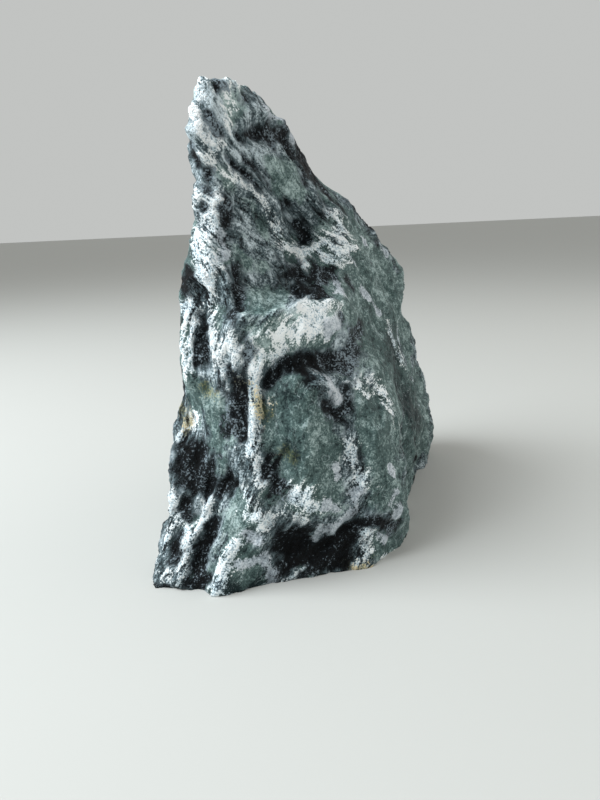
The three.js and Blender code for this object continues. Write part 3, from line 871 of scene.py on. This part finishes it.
MM_PER_METRE = 1000.0
STREAK_RUN = 0.14
BLOTCH_RUN = 0.55
HAIR_RUN = 0.30
FINE_GRAIN_PART = 0.62
MIDDLE_GRAIN_PART = 0.38
STREAK_PART = 0.5
BROAD_STREAK_PART = 0.5
position = add_node(tree, "ShaderNodeTexCoord").outputs["Object"]
in_mm = stretched(position, MM_PER_METRE, MM_PER_METRE, MM_PER_METRE)
layer_place = attribute("layers", "Vector")
along_layers = stretched(layer_place, 1.0, STREAK_RUN, STREAK_RUN)
fine_grain = noisy(in_mm, scale=1.30, detail=2.0, half_range=0.20)
middle_grain = noisy(in_mm, scale=0.52, detail=3.0, half_range=0.20)
mottling = noisy(in_mm, scale=0.13, detail=4.0, half_range=0.22)
streaks = noisy(along_layers, scale=1.05, detail=3.0, half_range=0.17)
broad_streaks = noisy(along_layers, scale=0.34, detail=4.0, half_range=0.17)
grain = blended(fine_grain, FINE_GRAIN_PART, middle_grain, MIDDLE_GRAIN_PART)
blotch_place = stretched(layer_place, 1.0, BLOTCH_RUN, BLOTCH_RUN)
blotches = noisy(blotch_place, scale=0.21, detail=6.0, half_range=0.16)
both_streaks = blended(streaks, STREAK_PART, broad_streaks, BROAD_STREAK_PART)
# shade carries the stone's own tone together with its painted light and shade
shade_here = attribute("shade")

LOOKS = {
    # mineral: dark, middle and light colour, then level, grain, mottle, streak
    "schist": ((12, 17, 21), (92, 108, 113), (216, 229, 235), 0.48, 0.95, 0.30, 1.15),
    "jade": ((26, 40, 42), (86, 107, 105), (186, 205, 203), 0.48, 0.70, 0.50, 0.32),
    "white": ((50, 64, 72), (194, 211, 219), (252, 255, 255), 0.60, 1.75, 0.40, 1.10),
    "talc": ((96, 106, 112), (174, 184, 192), (230, 235, 240), 0.52, 1.00, 0.30, 0.40),
    "black": ((1, 2, 3), (19, 25, 29), (138, 152, 160), 0.35, 1.45, 0.35, 0.75),
}
colours = {}
for mineral, (dark, middle, light, level, grained, mottled, streaked) in LOOKS.items():
    colours[mineral] = use_group(tree, mineral_group, {
        "Dark": linear(*dark), "Middle": linear(*middle), "Light": linear(*light),
        "Level": level, "Grain": grained, "Mottle": mottled, "Streak": streaked,
        "Fine Grain": grain, "Mottling": mottling, "Streaks": both_streaks, "Shade": shade_here,
    })["Colour"]

OUTLINES = {
    # mineral: how far grains, fine grains, streaks and blotches carry its edge,
    # and how softly it ends
    "jade": (1.5, 2.4, 3.0, 5.0, 1.8),
    "white": (2.4, 5.0, 8.0, 5.0, 1.2),
    "talc": (1.2, 1.8, 1.2, 1.4, 0.6),
    "black": (2.0, 3.4, 4.5, 4.0, 1.2),
}
masks = {}
colour = colours["schist"]
for mineral, (coarse_reach, fine_reach, streak_reach, blotch_reach, softness) in OUTLINES.items():
    masks[mineral] = use_group(tree, ragged, {
        "Amount": attribute(mineral), "Coarse": middle_grain, "Fine": fine_grain,
        "Coarse Reach": coarse_reach, "Fine Reach": fine_reach,
        "Streak": both_streaks, "Streak Reach": streak_reach,
        "Blotch": blotches, "Blotch Reach": blotch_reach, "Softness": softness,
    })["Mask"]
    colour = painted_over(tree, masks[mineral], colour, colours[mineral])

# Pale hairlines wind along the layers through all but the black.
HAIR_HALF_WIDTH = 0.025
HAIR_COLOUR = (196, 212, 214)
hair_place = stretched(layer_place, 1.0, HAIR_RUN, HAIR_RUN)
hair_bend = noisy(hair_place, scale=0.30, detail=2.0, half_range=0.30)
hairlines = add_node(
    tree, "ShaderNodeMapRange",
    {"Value": sum_up(tree, "ABSOLUTE", sum_up(tree, "SUBTRACT", hair_bend, 0.5)),
     "From Min": 0.0, "From Max": HAIR_HALF_WIDTH, "To Min": 1.0, "To Max": 0.0},
    interpolation_type="SMOOTHSTEP",
).outputs[0]
broken_up = sum_up(tree, "MULTIPLY", middle_grain, mottling)
hairlines = sum_up(tree, "MULTIPLY", hairlines, broken_up)
off_black = sum_up(tree, "SUBTRACT", 1.0, masks["black"])
hairlines = sum_up(tree, "MULTIPLY", hairlines, off_black, clamp=True)
colour = painted_over(tree, hairlines, colour, linear(*HAIR_COLOUR))

# Rust stains tint what they lie on.
RUST_COLOUR = (236, 214, 172)
RUST_COARSE_REACH = 4.0
RUST_FINE_REACH = 5.0
RUST_BLOTCH_REACH = 4.0
RUST_SOFTNESS = 2.2
stained = use_group(tree, ragged, {
    "Amount": attribute("ochre"), "Coarse": middle_grain, "Fine": fine_grain,
    "Coarse Reach": RUST_COARSE_REACH, "Fine Reach": RUST_FINE_REACH,
    "Blotch": blotches, "Blotch Reach": RUST_BLOTCH_REACH, "Softness": RUST_SOFTNESS,
})["Mask"]
colour = painted_over(tree, stained, colour, linear(*RUST_COLOUR), blend_type="MULTIPLY")
tree.links.new(colour, surface_shader.inputs["Base Color"])

# The finest relief and the gloss: grains and streaks stand out least on jade.
JADE_SMOOTH = 0.75
FINE_RELIEF = 0.5
MIDDLE_RELIEF = 0.7
STREAK_RELIEF = 0.35
RELIEF_STRENGTH = 0.8
RELIEF_DEPTH = 1.0 * MM
GLOSSIEST = 0.42
DULLEST = 0.74
SHEEN = 0.14
smoothness = sum_up(tree, "MULTIPLY", masks["jade"], JADE_SMOOTH)
unevenness = sum_up(tree, "SUBTRACT", 1.0, smoothness)
relief = blended(fine_grain, FINE_RELIEF, middle_grain, MIDDLE_RELIEF)
relief = sum_up(tree, "ADD", relief, sum_up(tree, "MULTIPLY", streaks, STREAK_RELIEF))
relief = sum_up(tree, "MULTIPLY", relief, unevenness)
bump = add_node(
    tree, "ShaderNodeBump",
    {"Height": relief, "Strength": RELIEF_STRENGTH, "Distance": RELIEF_DEPTH},
)
tree.links.new(bump.outputs[0], surface_shader.inputs["Normal"])
gloss = add_node(
    tree, "ShaderNodeMapRange",
    {"Value": grain, "From Min": 0.0, "From Max": 1.0, "To Min": GLOSSIEST, "To Max": DULLEST},
)
tree.links.new(gloss.outputs[0], surface_shader.inputs["Roughness"])
surface_shader.inputs["Specular IOR Level"].default_value = SHEEN
stone_mesh.materials.clear()
stone_mesh.materials.append(stone_finish)
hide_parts("soapstone_block")
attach(stone, "root")

# Floor: a plain pale sheet of matt card, wide enough to run out of sight.
FLOOR_HALF = 40.0
FLOOR_COLOUR = (190, 190, 186)
FLOOR_ROUGHNESS = 0.9
floor_mesh = bpy.data.meshes.new("pale_floor")
laying = bmesh.new()
bmesh.ops.create_grid(laying, x_segments=1, y_segments=1, size=FLOOR_HALF)
laying.to_mesh(floor_mesh)
laying.free()
floor = bpy.data.objects.new("pale_floor", floor_mesh)
bpy.context.scene.collection.objects.link(floor)
card = bpy.data.materials.new("pale_card")
card.use_nodes = True
card_shader = card.node_tree.nodes["Principled BSDF"]
card_shader.inputs["Base Color"].default_value = linear(*FLOOR_COLOUR)
card_shader.inputs["Roughness"].default_value = FLOOR_ROUGHNESS
floor_mesh.materials.append(card)

# Light: soft daylight from the upper left, with pale surroundings that fill
# the shadows.
SURROUNDINGS_COLOUR = (214, 216, 214)
SURROUNDINGS_STRENGTH = 0.80
LIT_SPOT = Vector((0, 0, 0.1))
LAMPS = [
    # name, watts, width in metres, colour and place
    ("daylight", 24, 0.9, (0.90, 0.96, 1.0), (-0.85, -0.25, 0.95)),
    ("pale_bounce", 2.5, 1.0, (1.0, 0.975, 0.95), (0.95, 0.1, 0.5)),
]
surroundings = bpy.data.worlds.new("pale_surroundings")
surroundings.use_nodes = True
background = surroundings.node_tree.nodes["Background"]
background.inputs["Color"].default_value = linear(*SURROUNDINGS_COLOUR)
background.inputs["Strength"].default_value = SURROUNDINGS_STRENGTH
bpy.context.scene.world = surroundings
for name, watts, width, light_colour, light_place in LAMPS:
    lamp_data = bpy.data.lights.new(name, "AREA")
    lamp_data.energy = watts
    lamp_data.size = width
    lamp_data.color = light_colour
    lamp = bpy.data.objects.new(name, lamp_data)
    lamp.location = light_place
    lamp.rotation_euler = (LIT_SPOT - lamp.location).to_track_quat("-Z", "Y").to_euler()
    bpy.context.scene.collection.objects.link(lamp)
bpy.context.scene.view_settings.view_transform = "Standard"
